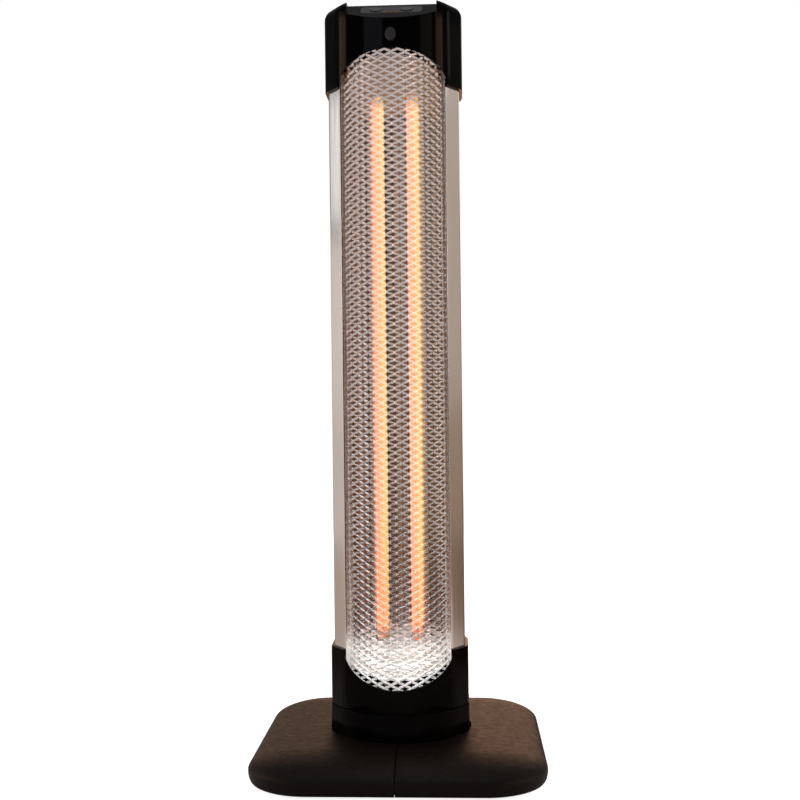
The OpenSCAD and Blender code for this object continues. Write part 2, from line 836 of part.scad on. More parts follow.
module control_panel() {
    color([0.05, 0.05, 0.055]) on_panel() difference() {
        translate([0, 0, -overlay_t]) linear_extrude(overlay_t) overlay_outline(0);
        both_sides() translate([button_x, overlay_y, -overlay_t - cut])
            cylinder(r = button_r + 0.3, h = overlay_t + 2 * cut);
        for (i = [-1 : 1]) translate([6 * i, light_y, -overlay_t - cut])
            cylinder(r = 1.2 + fit, h = overlay_t + 2 * cut);
    }
}

module indicator_lights() {
    color("red") on_panel() for (i = [-1 : 1])
        translate([6 * i, light_y, -overlay_t + fit]) cylinder(r = 1.2, h = overlay_t);
}

module push_button() {
    color([0.16, 0.16, 0.17]) on_panel() translate([button_x, overlay_y]) {
        flange_z = -roof_t - 0.3 - button_flange;
        translate([0, 0, flange_z]) cylinder(r = button_r, h = button_proud - flange_z);
        translate([0, 0, flange_z]) cylinder(r = button_r + 1.2, h = button_flange);
        translate([0, 0, tact_z + button_travel + 0.1])
            cylinder(r = button_stem_r, h = flange_z - tact_z - button_travel);
    }
}

module tact_switches() {
    color("dimgray") on_panel() both_sides() translate([button_x, overlay_y]) {
        translate([-3, -3, board_z + 0.05]) cube([6, 6, tact_z - board_z - 0.6]);
        translate([0, 0, tact_z - 1]) cylinder(r = 1.7, h = 1);
    }
}

module control_board() {
    color("darkgreen") on_panel() difference() {
        translate([-board_half_w, board_far, board_z - board_t - 0.05])
            cube([2 * board_half_w, board_near - board_far, board_t]);
        for (p = BOARD_SCREWS) translate([p.x, p.y, board_z - 5])
            cylinder(r = board_screw_r + 0.2, h = 8);
    }
}

module board_relays() {
    color("royalblue") on_panel() for (x = [-1, 1])
        translate([x * 12 - 8, overlay_y - 6, board_z - board_t - 0.1 - 9]) cube([16, 14, 9]);
}

module board_screws() {
    color("silver") on_panel() for (p = BOARD_SCREWS)
        translate([p.x, p.y, board_z - board_t - 0.1]) pan_screw(board_t + 5, board_screw_r, 2.3, 1.4);
}

module heat_shield() {
    // Sheet under the electronics that closes the top of the housing
    color("silver") translate([0, 0, housing_top + 0.3]) linear_extrude(1) difference() {
        plan(-0.5);
        translate([0, harness_y]) circle(r = harness_r + 1.5);
        both_sides() translate([tube_pitch / 2 - 2, lead_y]) circle(r = lead_r + 1.6);
    }
}

// ---- rear rocker switch ----

module rocker_frame() {
    face = back_y + cap_out;
    color([0.03, 0.03, 0.03]) difference() {
        union() {
            translate([-7.5, face + 0.05, rocker_z - 10.5]) cube([15, 1.6, 21]);
            translate([-rocker_hole.x / 2 + fit, face - 15, rocker_z - rocker_hole.y / 2 + fit])
                cube([rocker_hole.x - 2 * fit, 15 + 2 * fit, rocker_hole.y - 2 * fit]);
            for (x = [-4, 4]) translate([x - 0.4, face - 19, rocker_z - 3]) cube([0.8, 4 + eps, 6]);
        }
        translate([-4.9, face - 7, rocker_z - 8.1]) cube([9.8, 12, 16.2]);
        translate([-6, rocker_axle_y, rocker_z]) rotate([0, 90, 0])
            cylinder(r = rocker_axle_r + 0.05, h = 12);
    }
}

module rocker_key() {
    // Shown pressed in at the top, which is on
    color([0.12, 0.02, 0.02]) translate([0, rocker_axle_y, rocker_z]) rotate([rocker_tilt, 0, 0]) {
        rotate([90, 0, 90]) translate([0, 0, -4.6]) linear_extrude(9.2)
            polygon([[-3.4, -3], [1, -6.9], [5.2, -6.9], [3.6, 0], [5.2, 6.9], [1, 6.9], [-3.4, 3]]);
        translate([-5.7, 0, 0]) rotate([0, 90, 0]) cylinder(r = rocker_axle_r, h = 11.4);
    }
}

base_plate();
mirror([1, 0, 0]) base_cover();  // base_cover_left
base_cover();  // base_cover_right
rubber_feet();
cover_screws();
column_screws();
foot_collar();
cord_gland();
tip_switch_body();
tip_plunger();
tip_spring();
lower_cap();
upper_cap();
column_housing();
grille();
reflector();
reflector_stays();
upper_reflector_plate();
lower_reflector_plate();
mirror([1, 0, 0]) quartz_tube();  // quartz_tube_left
quartz_tube();  // quartz_tube_right
mirror([1, 0, 0]) carbon_element();  // carbon_element_left
carbon_element();  // carbon_element_right
mirror([1, 0, 0]) ceramic_ends();  // ceramic_ends_left
ceramic_ends();  // ceramic_ends_right
upper_tube_bracket();
lower_tube_bracket();
rear_screws_upper();
rear_screws_lower();
thermal_cutout();
tube_leads_upper();
tube_leads_lower();
wire_harness();
terminal_block();
heat_shield();
control_board();
board_relays();
tact_switches();
board_screws();
control_panel();
mirror([1, 0, 0]) push_button();  // power_button
push_button();  // level_button
indicator_lights();
ir_window();
rocker_frame();
rocker_key();
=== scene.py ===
# %% [markdown]
# # A tower heater, dressed around its CAD frame
# The heater is a bright aluminium column between two gloss black caps, on a heavy black base.
# Two glowing tubes stand in it behind a curved sheet of expanded metal. The CAD frame has
# every piece at its real size and place. This lesson reads the main ones from the frame and
# names the rest beside the piece that needs them. All lengths are in metres.

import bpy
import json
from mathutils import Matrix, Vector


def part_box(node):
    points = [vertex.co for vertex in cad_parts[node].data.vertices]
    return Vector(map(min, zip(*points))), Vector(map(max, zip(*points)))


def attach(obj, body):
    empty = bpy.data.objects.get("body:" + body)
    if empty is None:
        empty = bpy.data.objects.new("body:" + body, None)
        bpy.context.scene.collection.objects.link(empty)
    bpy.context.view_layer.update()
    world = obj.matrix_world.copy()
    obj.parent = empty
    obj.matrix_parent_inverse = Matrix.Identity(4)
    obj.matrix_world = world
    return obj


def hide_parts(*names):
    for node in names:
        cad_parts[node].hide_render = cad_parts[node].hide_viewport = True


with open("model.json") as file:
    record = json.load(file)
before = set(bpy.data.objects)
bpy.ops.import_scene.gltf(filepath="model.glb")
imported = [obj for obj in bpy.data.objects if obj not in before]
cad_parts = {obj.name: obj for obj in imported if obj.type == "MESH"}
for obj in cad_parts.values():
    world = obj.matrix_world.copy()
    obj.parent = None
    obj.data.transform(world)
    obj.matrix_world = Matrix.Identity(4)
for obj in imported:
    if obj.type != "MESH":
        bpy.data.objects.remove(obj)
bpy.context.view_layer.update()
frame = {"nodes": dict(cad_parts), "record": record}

# %% [markdown]
# ## Tools
# Nearly every piece is made from points and faces. Blender's ready-made cubes and cylinders
# could be stretched to fit, but moulded and folded pieces have rims and bends that those
# don't have. The first two tools put new data in the scene and make a mesh of it.

# %% Tools used all through
import json
import math

import bmesh
import bpy
from mathutils import Matrix, Vector

scene = bpy.context.scene
MM = 0.001


def link(name, data):
    """Puts new data in the scene under a plain name."""
    thing = bpy.data.objects.new(name, data)
    scene.collection.objects.link(thing)
    return thing


def mesh_piece(name, points, faces, smooth=True):
    """Makes an object from points and faces, with its normals turned outwards."""
    mesh = bpy.data.meshes.new(name)
    mesh.from_pydata([tuple(p) for p in points], [], faces)
    work = bmesh.new()
    work.from_mesh(mesh)
    bmesh.ops.recalc_face_normals(work, faces=work.faces)
    work.to_mesh(mesh)
    work.free()
    mesh.polygons.foreach_set("use_smooth", [smooth] * len(mesh.polygons))
    print(f"{name}: {len(mesh.vertices)} points, {len(mesh.polygons)} faces")
    return link(name, mesh)


# %% [markdown]
# A swept piece is a closed loop repeated at several heights, with a skin over the loops.
# Moulding and deburring leave small roundings on real edges, and folds stay crisp, so there
# is one tool for each.

# %% Sweeping, creases and rounded edges


def sweep(rings, close_along=False):
    """Points and faces of a skin over rings of equal length, each ring a closed loop. The
    last ring joins the first if it closes along; otherwise both ends are capped."""
    points = [p for ring in rings for p in ring]
    size, count = len(rings[0]), len(rings)
    faces = []
    for i in range(count if close_along else count - 1):
        a, b = i * size, ((i + 1) % count) * size
        for k in range(size):
            m = (k + 1) % size
            faces.append((a + k, a + m, b + m, b + k))
    if not close_along:
        faces.append(tuple(range(size)))
        faces.append(tuple(reversed(range((count - 1) * size, count * size))))
    return points, faces


def sharp_edges(piece, degrees):
    """Keeps creases sharper than this angle while the rest is shaded smooth."""
    work = bmesh.new()
    work.from_mesh(piece.data)
    for edge in work.edges:
        if len(edge.link_faces) == 2:
            edge.smooth = edge.calc_face_angle(0.0) < math.radians(degrees)
    work.to_mesh(piece.data)
    work.free()
    return piece


def soften(piece, width, segments):
    """Rounds the piece's edges a little, as moulding and deburring do."""
    bevel = piece.modifiers.new("softened edges", "BEVEL")
    bevel.width = width
    bevel.segments = segments
    bevel.limit_method = "ANGLE"
    bevel.angle_limit = math.radians(35)
    return piece


# %% [markdown]
# ## The camera
# The heater is seen from a little right of its front, at half its height, so its upright
# edges stay almost parallel. A longer lens from further off would flatten the base's top,
# so this one stands 1.28 m away. The camera leans by two thirds of a degree, which tips the
# column slightly to the left.

# %% Camera
camera_distance = 1.2824
camera_height = 0.3897
camera_azimuth = math.radians(2.88)
camera_lean = math.radians(-0.63)
focal_in_frame_widths = 1.48225
camera_shift = (0.00275, -0.00775)

lens = bpy.data.cameras.new("camera")
camera = link("camera", lens)
lens.sensor_width = 36
lens.lens = lens.sensor_width * focal_in_frame_widths
lens.shift_x, lens.shift_y = camera_shift
level = Vector((math.cos(camera_azimuth), math.sin(camera_azimuth), 0))
upward = Vector((0, 0, 1))
backward = Vector((math.sin(camera_azimuth), -math.cos(camera_azimuth), 0))
across = math.cos(camera_lean) * level + math.sin(camera_lean) * upward
up = -math.sin(camera_lean) * level + math.cos(camera_lean) * upward
stand = camera_distance * backward + camera_height * upward
camera.matrix_world = Matrix.Translation(stand) @ Matrix((across, up, backward)).transposed().to_4x4()
scene.camera = camera
scene.view_settings.view_transform = "Standard"
print("camera stands at", [round(c, 3) for c in stand], "with a", round(lens.lens, 1), "mm lens")

# %% [markdown]
# ## The studio
# A pale floor runs out of sight in every direction, so that no edge of it ever shows.

# %% Floor
floor_half = 30.0
floor = mesh_piece("floor", [(-floor_half, -floor_half, 0), (floor_half, -floor_half, 0),
                             (floor_half, floor_half, 0), (-floor_half, floor_half, 0)],
                   [(0, 1, 2, 3)], smooth=False)

# %% [markdown]
# Soft boxes stand round the heater. Gloss black shows only what it mirrors, so tall strips
# of light, some warm and some cool, are what draw the streaks down the caps. They could be
# one big dome, but then the caps would turn grey. The boxes behind the heater put a low
# brown sheen on the base's top, and the camera doesn't see any of them.

# %% Soft boxes


def softbox(name, angle, distance, height, size, glow, colour=(1, 1, 1), target=(0, 0, 0.4)):
    """An upright soft box at an angle from the heater's front, positive to the right. Its
    glow is how bright its face looks, where 1 is white paper in good light."""
    lamp = bpy.data.lights.new(name, "AREA")
    lamp.shape = "RECTANGLE"
    lamp.size, lamp.size_y = size
    lamp.energy = glow * math.pi * size[0] * size[1]
    lamp.color = colour
    box = link(name, lamp)
    box.visible_camera = False
    turn = math.radians(angle)
    box.location = (distance * math.sin(turn), -distance * math.cos(turn), height)
    aim = Vector(target) - box.location
    box.rotation_euler = aim.to_track_quat("-Z", "Y").to_euler()
    print(f"{name}: {lamp.energy:.1f} W at {angle} degrees")


warm = (1.0, 0.62, 0.42)
tan = (1.0, 0.72, 0.52)
brown = (1.0, 0.52, 0.30)
cream = (1.0, 0.90, 0.80)
beige = (1.0, 0.92, 0.86)
straw = (1.0, 0.84, 0.66)
cool = (0.80, 0.86, 1.0)
daylight = (0.90, 0.93, 1.0)
softbox("key_cool", -32, 2.2, 1.05, (1.2, 0.9), 2.6, cool)
softbox("fill_right", 58, 2.2, 1.0, (0.8, 1.0), 1.8, cream)
softbox("strip_warm_right", 84, 1.8, 0.75, (0.45, 1.3), 6.0, warm)
softbox("strip_cool_right", 107, 1.8, 1.32, (0.18, 0.24), 2.4, cool)
softbox("card_tan_right", 115, 1.9, 0.6, (0.95, 1.6), 0.22, tan)
softbox("strip_warm_left", -93, 1.8, 0.75, (0.5, 1.3), 5.0, warm)
softbox("strip_white_left", -116, 1.8, 0.99, (0.30, 0.32), 0.8)
softbox("card_beige_left", -118, 1.9, 0.35, (0.9, 0.9), 0.42, beige)
softbox("sheen_back_left", -162, 2.0, 0.5, (1.1, 0.8), 0.95, brown)
softbox("sheen_back_right", 170, 2.0, 0.5, (1.0, 0.8), 2.4, brown)
softbox("strip_top_right", 146, 2.0, 1.3, (0.7, 0.8), 0.9, straw)
softbox("overhead", 0, 0.2, 2.6, (1.6, 1.6), 1.5, daylight, target=(0, 0, 0))

# %% [markdown]
# The reflector's lower end plate is bright bare metal that faces up, so in a real studio
# it catches a lamp and shines white through the grille. One more soft box would brighten
# everything round it too, so a narrow spot does it here.

# %% Spot on the lower end plate
spot = bpy.data.lights.new("plate_spot", "SPOT")
spot.energy = 130
spot.spot_size = math.radians(8)
spot.spot_blend = 1.0
spot.shadow_soft_size = 0.04
spot_lamp = link("plate_spot", spot)
plate_middle = Vector((0, -0.03, 0.105))
spot_lamp.location = (0, -0.9, 0.62)
spot_aim = plate_middle - spot_lamp.location
spot_lamp.rotation_euler = spot_aim.to_track_quat("-Z", "Y").to_euler()
print("spot stands", round(spot_aim.length, 2), "m from the end plate")

# %% [markdown]
# The air beyond the soft boxes is dim, so gloss black stays black. A bright backdrop all
# round would wash out the caps, so the camera alone sees it as white paper.

# %% World
dim_air = 0.20
white_air = 1.0
world = bpy.data.worlds.new("studio")
scene.world = world
world.use_nodes = True
sky = world.node_tree.nodes["Background"]
air = world.node_tree.nodes.new("ShaderNodeBackground")
sight = world.node_tree.nodes.new("ShaderNodeLightPath")
either = world.node_tree.nodes.new("ShaderNodeMixShader")
sky.inputs["Color"].default_value = (1.0, 1.0, 1.0, 1)
sky.inputs["Strength"].default_value = dim_air
air.inputs["Color"].default_value = (1.0, 1.0, 1.0, 1)
air.inputs["Strength"].default_value = white_air
join = world.node_tree.links.new
join(sight.outputs["Is Camera Ray"], either.inputs["Fac"])
join(sky.outputs["Background"], either.inputs[1])
join(air.outputs["Background"], either.inputs[2])
join(either.outputs["Shader"], world.node_tree.nodes["World Output"].inputs["Surface"])
print("air:", dim_air, "for the heater and", white_air, "for the camera")

# %% [markdown]
# ## Making finishes
# Every finish is a small node tree on the Principled shader. A helper keeps each recipe
# short: it makes nodes, sets plain numbers on the shader's own sockets, and joins nodes.
# Patterns are laid out in the object's own coordinates, so their scale is in metres.

# %% Finish helper


class Finish:
    """A material with one Principled shader, and short ways to add nodes to it."""

    def __init__(self, name, **sockets):
        self.material = bpy.data.materials.new(name)
        self.material.use_nodes = True
        self.tree = self.material.node_tree
        self.shader = self.tree.nodes["Principled BSDF"]
        self.place = self.add("ShaderNodeTexCoord").outputs["Object"]
        for socket, value in sockets.items():
            self.set(self.shader, socket, value)

    def set(self, node, socket, value):
        """Sets a socket by its name, or by its number as in _0, to a value or a node's output."""
        key = int(socket[1:]) if socket[0] == "_" else socket.replace("_", " ")
        plug = node.inputs[key]
        if hasattr(value, "node"):
            self.tree.links.new(value, plug)
        else:
            plug.default_value = value

    def add(self, kind, settings=None, **sockets):
        """Adds a node, with its settings and sockets filled in."""
        node = self.tree.nodes.new(kind)
        for key, value in (settings or {}).items():
            setattr(node, key, value)
        for socket, value in sockets.items():
            self.set(node, socket, value)
        return node

    def noise(self, scale, detail=3.0, stretch=(1, 1, 1), roughness=0.5):
        """Smooth noise, with scale in features a metre, stretched along an axis if wanted."""
        sized = self.add("ShaderNodeMapping", Vector=self.place, Scale=stretch)
        node = self.add("ShaderNodeTexNoise", Vector=sized.outputs["Vector"], Scale=scale,
                        Detail=detail, Roughness=roughness)
        return node.outputs["Fac"]

    def ramp(self, value, low, high, from_low=0.0, from_high=1.0):
        """Maps a value to the range from low to high."""
        node = self.add("ShaderNodeMapRange", Value=value)
        node.inputs["From Min"].default_value = from_low
        node.inputs["From Max"].default_value = from_high
        node.inputs["To Min"].default_value = low
        node.inputs["To Max"].default_value = high
        return node.outputs["Result"]

    def mix(self, value, first, second):
        """A colour between first and second."""
        node = self.add("ShaderNodeMix", {"data_type": "RGBA"})
        self.tree.links.new(value, node.inputs[0])
        for index, colour in ((6, first), (7, second)):
            if hasattr(colour, "node"):
                self.tree.links.new(colour, node.inputs[index])
            else:
                node.inputs[index].default_value = (*colour, 1)
        return node.outputs[2]

    def bump(self, height, depth, strength):
        """Raises the surface by the pattern, with depth in metres."""
        node = self.add("ShaderNodeBump", Height=height, Distance=depth, Strength=strength)
        self.set(self.shader, "Normal", node.outputs["Normal"])

    def wear(self, **sockets):
        """Sets the shader's last sockets and gives the finished material."""
        for socket, value in sockets.items():
            self.set(self.shader, socket, value)
        return self.material


FINISHES = {}


def finish(slot):
    """Remembers a finish under the record's slot name."""
    def keep(recipe):
        FINISHES[slot] = recipe()
        print("finish:", slot)
        return recipe
    return keep


# %% [markdown]
# ### Black finishes
# The caps and the collar are gloss moulded plastic: almost black, with a very faint orange
# peel and slightly duller patches. The base covers are moulded with a fine spark-eroded
# grain, which breaks the light into a soft brownish sheen. Rubber is duller still. One
# flat black for all of them would look like a flat cut-out, so each has its own
# noise in colour and gloss.

# %% Black finishes


@finish("gloss_black")
def gloss_black():
    f = Finish("gloss_black", Specular_IOR_Level=0.025)
    haze = f.noise(22, detail=4)
    f.bump(f.noise(260, detail=2), 0.02 * MM, 0.35)
    return f.wear(Base_Color=f.mix(haze, (0.0006, 0.0005, 0.0005), (0.0016, 0.0012, 0.001)),
                  Roughness=f.ramp(haze, 0.06, 0.14, 0.3, 0.7))


@finish("textured_black")
def textured_black():
    f = Finish("textured_black", Specular_IOR_Level=0.11)
    grain = f.noise(1500, detail=2, roughness=0.6)
    mottle = f.noise(160, detail=5, roughness=0.65)
    f.bump(f.ramp(f.add("ShaderNodeMath", {"operation": "ADD"}, _0=grain, _1=mottle).outputs[0],
                  0, 1, 0.6, 1.4), 0.3 * MM, 0.75)
    return f.wear(Base_Color=f.mix(mottle, (0.0016, 0.0009, 0.0006), (0.0060, 0.0034, 0.0024)),
                  Roughness=f.ramp(mottle, 0.36, 0.54, 0.3, 0.7))


@finish("foot_rubber")
def foot_rubber():
    f = Finish("foot_rubber", Specular_IOR_Level=0.3)
    bloom = f.noise(300, detail=4)
    f.bump(bloom, 0.1 * MM, 0.4)
    return f.wear(Base_Color=f.mix(bloom, (0.012, 0.012, 0.012), (0.03, 0.029, 0.028)),
                  Roughness=f.ramp(bloom, 0.7, 0.9))


# %% [markdown]
# ### Metals
# The column is drawn aluminium, polished along its length, so its scratches run upright.
# The reflector is rolled sheet, duller than the column, and its end plates are bare metal.
# The hidden brackets and screws are zinc plated, with the crystal spangle that zinc shows.
# A blurred mirror alone could pass for brushed metal, but noise stretched along the grain
# shows as real lines close up.

# %% Metals


@finish("polished_aluminium")
def polished_aluminium():
    f = Finish("polished_aluminium", Metallic=1.0)
    lines = f.noise(900, detail=2, stretch=(1, 1, 0.012))
    cloud = f.noise(9, detail=3, stretch=(1, 1, 0.4))
    f.bump(lines, 0.03 * MM, 0.25)
    return f.wear(Base_Color=f.mix(cloud, (0.80, 0.76, 0.72), (0.92, 0.90, 0.88)),
                  Roughness=f.ramp(lines, 0.12, 0.24, 0.3, 0.7))


@finish("reflector_aluminium")
def reflector_aluminium():
    f = Finish("reflector_aluminium", Metallic=1.0)
    wave = f.noise(30, detail=2, stretch=(1, 1, 0.25))
    f.bump(wave, 0.6 * MM, 0.3)
    return f.wear(Base_Color=f.mix(wave, (0.34, 0.32, 0.31), (0.46, 0.44, 0.43)),
                  Roughness=f.ramp(f.noise(500, stretch=(1, 1, 0.02)), 0.24, 0.36, 0.3, 0.7))


@finish("end_plate_aluminium")
def end_plate_aluminium():
    f = Finish("end_plate_aluminium", Metallic=0.35)
    roll = f.noise(600, detail=2, stretch=(0.05, 1, 1))
    f.bump(roll, 0.05 * MM, 0.3)
    return f.wear(Base_Color=f.mix(roll, (0.84, 0.82, 0.79), (0.95, 0.94, 0.92)),
                  Roughness=f.ramp(roll, 0.45, 0.6, 0.3, 0.7))


def plated(name, dark, light, rough_low, rough_high, scale):
    """Zinc plating, with its crystals as flat cells of slightly different brightness."""
    f = Finish(name, Metallic=1.0)
    cells = f.add("ShaderNodeTexVoronoi", Vector=f.place, Scale=scale)
    tone = f.add("ShaderNodeSeparateColor", Color=cells.outputs["Color"]).outputs["Red"]
    return f.wear(Base_Color=f.mix(tone, dark, light), Roughness=f.ramp(tone, rough_low, rough_high))


PLATED = {
    "zinc_steel": ((0.50, 0.51, 0.52), (0.68, 0.69, 0.70), 0.28, 0.42, 140),
    "screw_steel": ((0.45, 0.44, 0.42), (0.66, 0.65, 0.63), 0.2, 0.34, 900),
    "spring_steel": ((0.4, 0.4, 0.4), (0.6, 0.6, 0.6), 0.2, 0.3, 1500),
}
for slot, look in PLATED.items():
    FINISHES[slot] = plated(slot, *look)
print("finishes:", *PLATED)


@finish("ballast_steel")
def ballast_steel():
    f = Finish("ballast_steel", Metallic=0.0, Specular_IOR_Level=0.4)
    peel = f.noise(420, detail=3)
    f.bump(peel, 0.2 * MM, 0.5)
    return f.wear(Base_Color=f.mix(peel, (0.018, 0.018, 0.019), (0.035, 0.035, 0.036)),
                  Roughness=f.ramp(peel, 0.45, 0.6))


# %% [markdown]
# ### Glass, glow and ceramic
# The tubes are clear quartz. Inside each one a carbon strip glows along its whole length, a
# little redder near its lower end, where its holder draws the heat away. The ends sit in
# unglazed white ceramic. Lamps could stand in for the glow, but light that squeezes through
# a fine grille turns grainy, so the strip and the quartz glow by themselves.

# %% Glass, glow and ceramic
lamp_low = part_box("lower_reflector_plate")[1].z
lamp_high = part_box("upper_reflector_plate")[0].z
tube_low, tube_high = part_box("quartz_tube_right")
tube_x = (tube_low.x + tube_high.x) / 2
tube_r = (tube_high.x - tube_low.x) / 2
print("tubes stand", round(2 * tube_x / MM, 1), "mm apart and are", round(2 * tube_r / MM, 1), "mm thick")


def glow_tint(f, shift=0.0, spread=1.0):
    """The glow's colour, how far a point is beside the nearer tube, and its height. The glow
    is salmon on each tube's left, amber on its right, and redder low down."""
    axes = f.add("ShaderNodeSeparateXYZ", Vector=f.place)
    right_tube = f.ramp(axes.outputs["X"], 0.0, 1.0, -MM, MM)
    across = f.add("ShaderNodeMath", {"operation": "SUBTRACT"}, _0=axes.outputs["X"],
                   _1=f.ramp(right_tube, shift - spread * tube_x,
                             shift + spread * tube_x)).outputs[0]
    beside = f.add("ShaderNodeMath", {"operation": "ABSOLUTE"}, _0=across).outputs[0]
    side = f.ramp(across, 0.0, 1.0, -0.4 * tube_r, 0.5 * tube_r)
    tint = f.mix(side, (1.0, 0.37, 0.21), (0.95, 0.56, 0.19))
    low = f.ramp(axes.outputs["Z"], 1.0, 0.0, lamp_low - 20 * MM, lamp_low + 90 * MM)
    return f.mix(low, tint, (1.0, 0.27, 0.10)), beside, axes.outputs["Z"]


@finish("carbon")
def carbon():
    f = Finish("carbon", Roughness=0.8)
    tint = glow_tint(f)[0]
    weave = f.add("ShaderNodeTexWave", {"bands_direction": "DIAGONAL"}, Vector=f.place, Scale=110.0,
                  Distortion=1.5)
    return f.wear(Base_Color=(0.02, 0.018, 0.016, 1), Emission_Color=tint,
                  Emission_Strength=f.ramp(weave.outputs["Fac"], 0.55, 0.85))


@finish("quartz")
def quartz():
    f = Finish("quartz", Roughness=0.03, IOR=1.46, Transmission_Weight=1.0)
    tint, _, height = glow_tint(f)
    film = f.noise(60, detail=3)
    lit = f.ramp(height, 0.0, 1.0, lamp_low - 2 * MM, lamp_low + 4 * MM)
    glow = f.add("ShaderNodeMath", {"operation": "MULTIPLY"}, _0=lit,
                 _1=f.ramp(film, 0.15, 0.22)).outputs[0]
    return f.wear(Base_Color=f.mix(film, (1.0, 0.97, 0.94), (0.97, 0.92, 0.88)), Emission_Color=tint,
                  Emission_Strength=glow)


@finish("ceramic_white")
def ceramic_white():
    f = Finish("ceramic_white")
    chalk = f.noise(350, detail=4)
    f.bump(chalk, 0.1 * MM, 0.4)
    return f.wear(Base_Color=f.mix(chalk, (0.78, 0.75, 0.68), (0.88, 0.86, 0.80)),
                  Roughness=f.ramp(chalk, 0.55, 0.75))


# %% [markdown]
# ### Grille steel
# The grille is bright plated steel. Its strands in front of the tubes are bathed in their
# light, which is so bright that they look pink and amber instead of grey. Strong lamps
# behind the grille would do the same with far more grain, so the steel takes a soft sheen
# there, which fades out past each tube's width. It takes a white one by the lower plate.

# %% Grille steel
strand_shift = 3.2 * MM
strand_spread = 0.95
strand_glow = 0.68
plate_glow = 0.30


@finish("mesh_steel")
def mesh_steel():
    f = Finish("mesh_steel", Metallic=1.0)
    speck = f.noise(700, detail=3)
    tint, beside, height = glow_tint(f, strand_shift, strand_spread)
    near = f.ramp(beside, strand_glow, 0.0, 0.85 * tube_r, 1.15 * tube_r)
    above = f.ramp(height, 0.0, 1.0, lamp_low + 1 * MM, lamp_low + 12 * MM)
    below = f.ramp(height, 1.0, 0.0, lamp_high - 12 * MM, lamp_high - 2 * MM)
    glow = f.add("ShaderNodeMath", {"operation": "MULTIPLY"}, _0=near, _1=f.add(
        "ShaderNodeMath", {"operation": "MULTIPLY"}, _0=above, _1=below).outputs[0]).outputs[0]
    floor_glare = f.ramp(height, plate_glow, 0.0, lamp_low - 16 * MM, lamp_low + 4 * MM)
    both = f.add("ShaderNodeMath", {"operation": "ADD"}, _0=glow, _1=floor_glare).outputs[0]
    lower = f.ramp(height, 1.0, 0.0, lamp_low - 1 * MM, lamp_low + 1 * MM)
    return f.wear(Base_Color=f.mix(speck, (0.62, 0.59, 0.57), (0.90, 0.87, 0.85)),
                  Roughness=f.ramp(speck, 0.14, 0.30, 0.3, 0.7),
                  Emission_Color=f.mix(lower, tint, (0.95, 0.95, 0.93)), Emission_Strength=both)


# %% [markdown]
# ### Small plastics and sleeves
# Switches, relays and buttons are plain moulded plastics with a light satin grain. The
# wires wear woven sleeves, so their pattern is a fine diagonal weave. A function for each
# would say the same thing many times, so a table lists what differs: the darker and lighter
# colour, the roughness and the fineness of the grain or the weave.

# %% Small plastics and sleeves


def moulded(name, dark, light, rough, scale, shine=0.5):
    """Satin moulded plastic with a fine grain."""
    f = Finish(name, Specular_IOR_Level=shine)
    grain = f.noise(scale, detail=3)
    f.bump(grain, 0.06 * MM, 0.3)
    return f.wear(Base_Color=f.mix(grain, dark, light),
                  Roughness=f.ramp(grain, rough - 0.06, rough + 0.08))


def woven(name, dark, light, scale):
    """A woven sleeve of fine diagonal threads."""
    f = Finish(name, Roughness=0.8)
    threads = f.add("ShaderNodeTexWave", {"bands_direction": "DIAGONAL"}, Vector=f.place, Scale=scale)
    f.bump(threads.outputs["Fac"], 0.2 * MM, 0.6)
    return f.wear(Base_Color=f.mix(threads.outputs["Fac"], dark, light))


SATIN = {
    "switch_plastic": ((0.62, 0.59, 0.50), (0.74, 0.71, 0.62), 0.45, 500),
    "relay_blue": ((0.03, 0.10, 0.30), (0.05, 0.15, 0.40), 0.4, 500),
    "panel_black": ((0.008, 0.008, 0.009), (0.014, 0.014, 0.016), 0.2, 260),
    "button_grey": ((0.045, 0.045, 0.05), (0.07, 0.07, 0.075), 0.42, 500),
    "rocker_red": ((0.16, 0.008, 0.006), (0.24, 0.014, 0.01), 0.25, 500),
    "lamp_red": ((0.45, 0.02, 0.01), (0.6, 0.04, 0.02), 0.3, 500),
    "smoked_window": ((0.016, 0.012, 0.014), (0.026, 0.02, 0.024), 0.22, 200, 0.6),
}
WOVEN = {
    "lead_sleeve": ((0.52, 0.48, 0.40), (0.80, 0.77, 0.70), 900),
    "harness_sleeve": ((0.012, 0.012, 0.012), (0.05, 0.05, 0.05), 700),
}
for slot, look in SATIN.items():
    FINISHES[slot] = moulded(slot, *look)
for slot, look in WOVEN.items():
    FINISHES[slot] = woven(slot, *look)
print("finishes:", *SATIN, *WOVEN)


# %% [markdown]
# The control board is green lacquer over copper tracks, which show as paler lines. Noise
# would give clouds, so a cell pattern measured along straight lines draws the tracks.

# %% Board


@finish("board_green")
def board_green():
    f = Finish("board_green", Roughness=0.35)
    tracks = f.add("ShaderNodeTexVoronoi", {"distance": "MANHATTAN", "feature": "DISTANCE_TO_EDGE"},
                   Vector=f.place, Scale=260.0)
    line = f.ramp(tracks.outputs["Distance"], 1.0, 0.0, 0.02, 0.06)
    f.bump(line, 0.05 * MM, 0.5)
    return f.wear(Base_Color=f.mix(line, (0.010, 0.075, 0.028), (0.03, 0.16, 0.06)))


# %% [markdown]
# ### Dress the carried-over CAD pieces
# Each CAD node's slot in the record names its finish. The inner pieces, screws and feet
# keep the shape that the CAD gave them, because they are small or hidden: a new mesh would
# add nothing to see. The outer pieces get a new mesh later on, with the same finish.

# %% Dress the CAD nodes
slot_of = {part["node"]: part["material_slot"] for part in frame["record"]["subparts"]}


def dress(piece, slot):
    """Gives a piece one finish."""
    piece.data.materials.clear()
    piece.data.materials.append(FINISHES[slot])


for node, thing in frame["nodes"].items():
    dress(thing, slot_of[node])
print(len(slot_of), "CAD nodes dressed in", len(set(slot_of.values())), "finishes")

